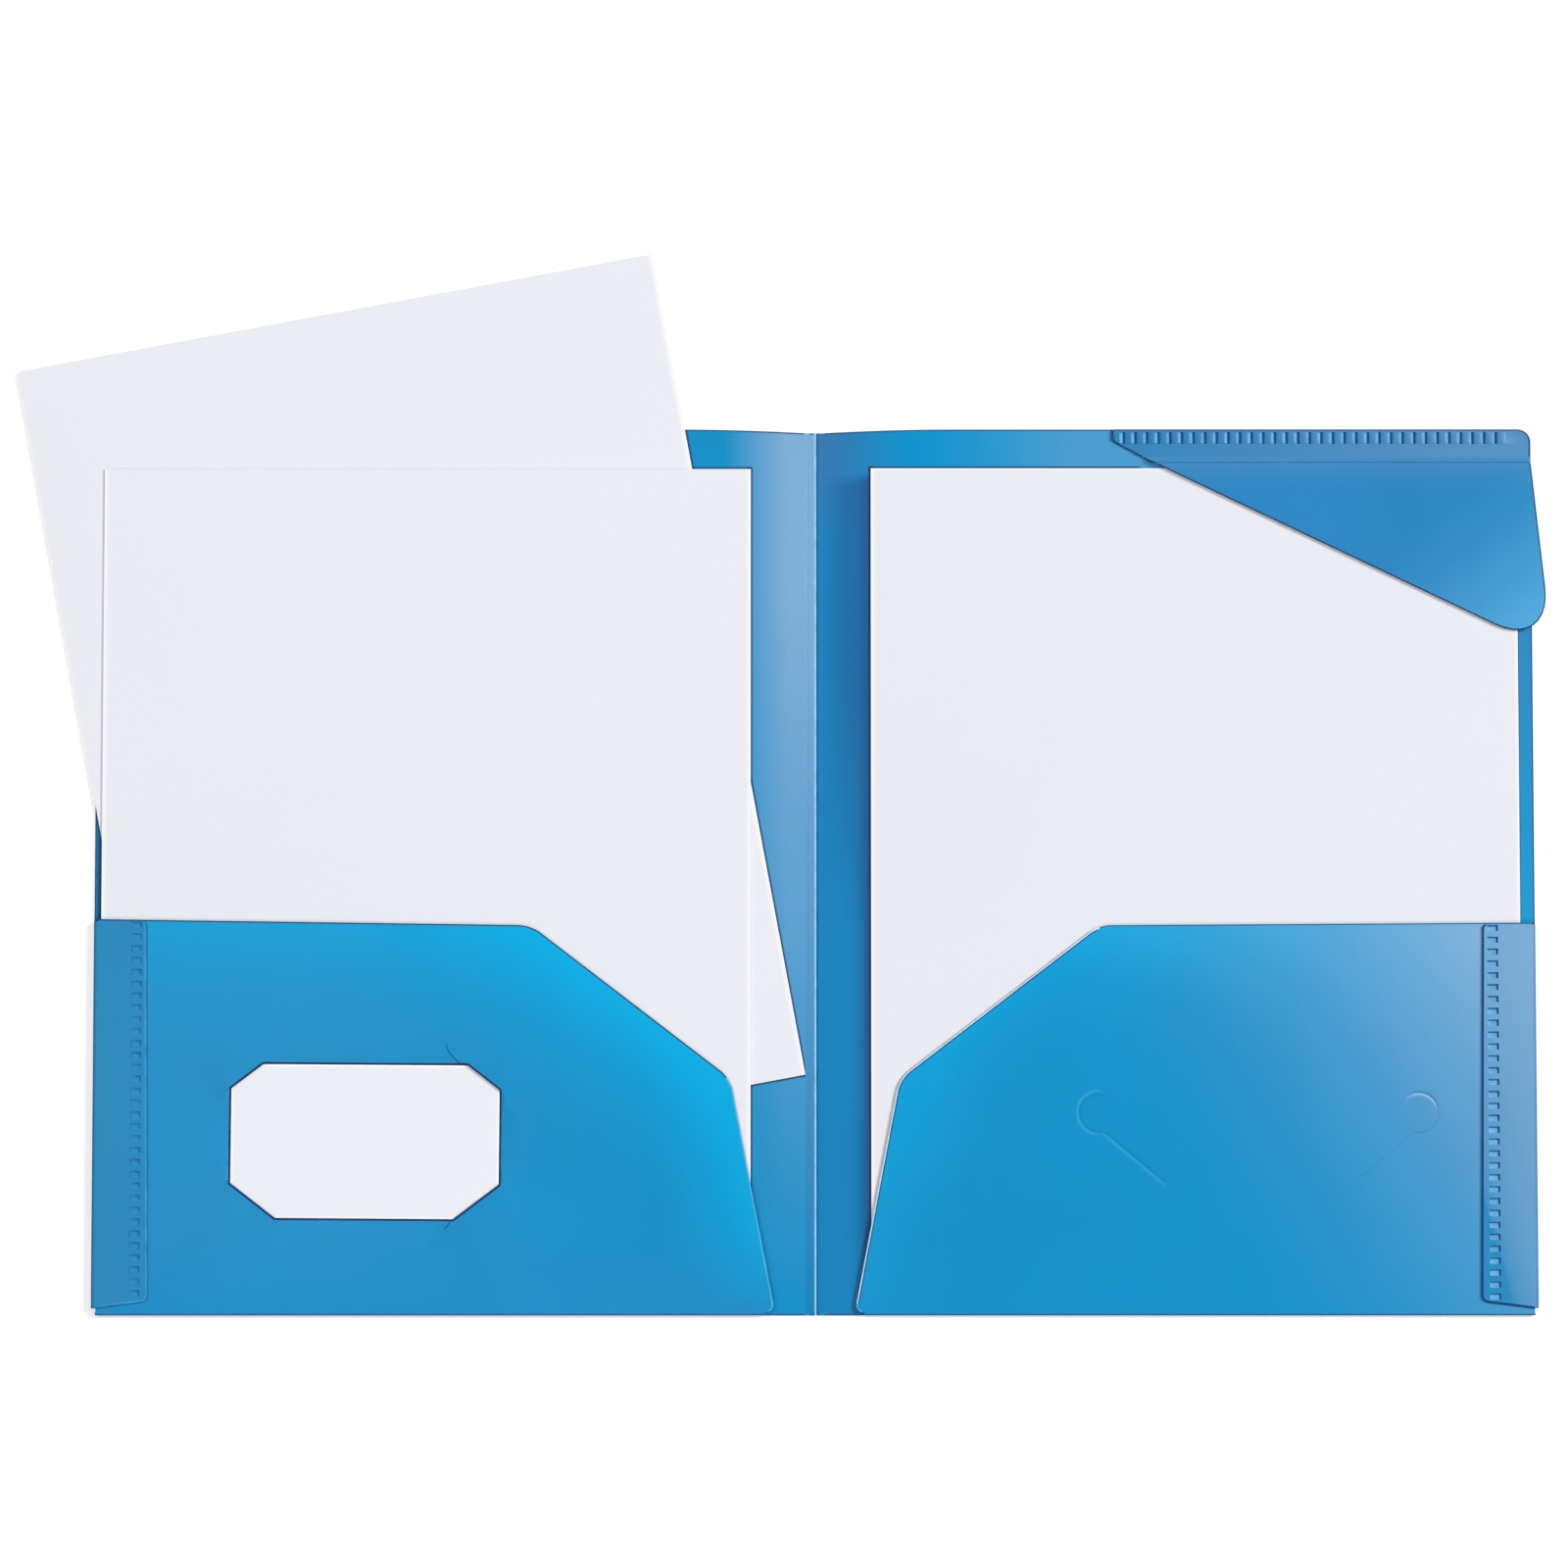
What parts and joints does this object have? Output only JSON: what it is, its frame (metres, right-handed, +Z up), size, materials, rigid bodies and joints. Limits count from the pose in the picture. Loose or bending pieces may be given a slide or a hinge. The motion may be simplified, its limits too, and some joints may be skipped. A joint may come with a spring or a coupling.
{
  "type": "four pocket folder",
  "caption": "Translucent blue folder lying open, with a pocket, a welded side tab and card slits on each side, a corner flap, letter sheets and a blank card.",
  "frame": {"origin": "middle of the spine strip, on the outer face that lies on the table when the folder is open", "axes": "+X to the right across the open folder, +Y towards the folder's top edge, +Z up from the table"},
  "size_m": [0.5107, 0.3542, 0.0037],
  "materials": {
    "cover_film": "translucent blue polypropylene film, fine satin grain",
    "spine_film": "translucent blue film, scored along both creases and down the middle",
    "fold_film": "translucent blue film turned round a soft fold",
    "pocket_film": "translucent blue film, lighter where paper lies behind it",
    "tab_film": "translucent blue film, pressed into weld marks",
    "flap_film": "translucent blue film, satin",
    "paper": "plain white office paper",
    "card_stock": "smooth white card, blank"
  },
  "bodies": {
    "back_cover": {"back_cover": "cover_film", "right_bottom_fold": "fold_film", "right_side_fold": "fold_film", "right_pocket_panel": "pocket_film", "right_side_tab": "tab_film", "flap_weld_strip": "tab_film"},
    "spine": {"spine_strip": "spine_film"},
    "front_cover": {"front_cover": "cover_film", "left_bottom_fold": "fold_film", "left_side_fold": "fold_film", "left_pocket_panel": "pocket_film", "left_side_tab": "tab_film", "business_card": "card_stock"},
    "corner_flap": {"corner_flap": "flap_film"},
    "left_front_sheet": {"left_front_sheet": "paper"},
    "left_tilted_sheet": {"left_tilted_sheet": "paper"},
    "right_sheet": {"right_sheet": "paper"}
  },
  "joints": [
    {"name": "spine_fold", "type": "hinge", "parent": "back_cover", "child": "spine", "pos_m": [0.0025, 0, 0.0005], "axis": [0, 1, 0], "range_deg": [0, 90]},
    {"name": "cover_fold", "type": "hinge", "parent": "spine", "child": "front_cover", "pos_m": [-0.0025, 0, 0.0005], "axis": [0, 1, 0], "range_deg": [0, 90]},
    {"name": "flap_fold", "type": "hinge", "parent": "back_cover", "child": "corner_flap", "pos_m": [0.17, 0.1371, 0.00155], "axis": [-1, 0, 0], "range_deg": [0, 180]},
    {"name": "left_front_sheet_slide", "type": "slide", "parent": "front_cover", "child": "left_front_sheet", "axis": [0, 1, 0], "range_m": [0, 0.135]},
    {"name": "left_tilted_sheet_slide", "type": "slide", "parent": "front_cover", "child": "left_tilted_sheet", "axis": [-0.184, 0.9829, 0], "range_m": [0, 0.1]},
    {"name": "right_sheet_slide", "type": "slide", "parent": "back_cover", "child": "right_sheet", "axis": [1, 0, 0], "range_m": [-0.015, 0.003]}
  ],
  "couplings": [
    {"joint": "cover_fold", "follows": "spine_fold", "ratio": 1}
  ]
}
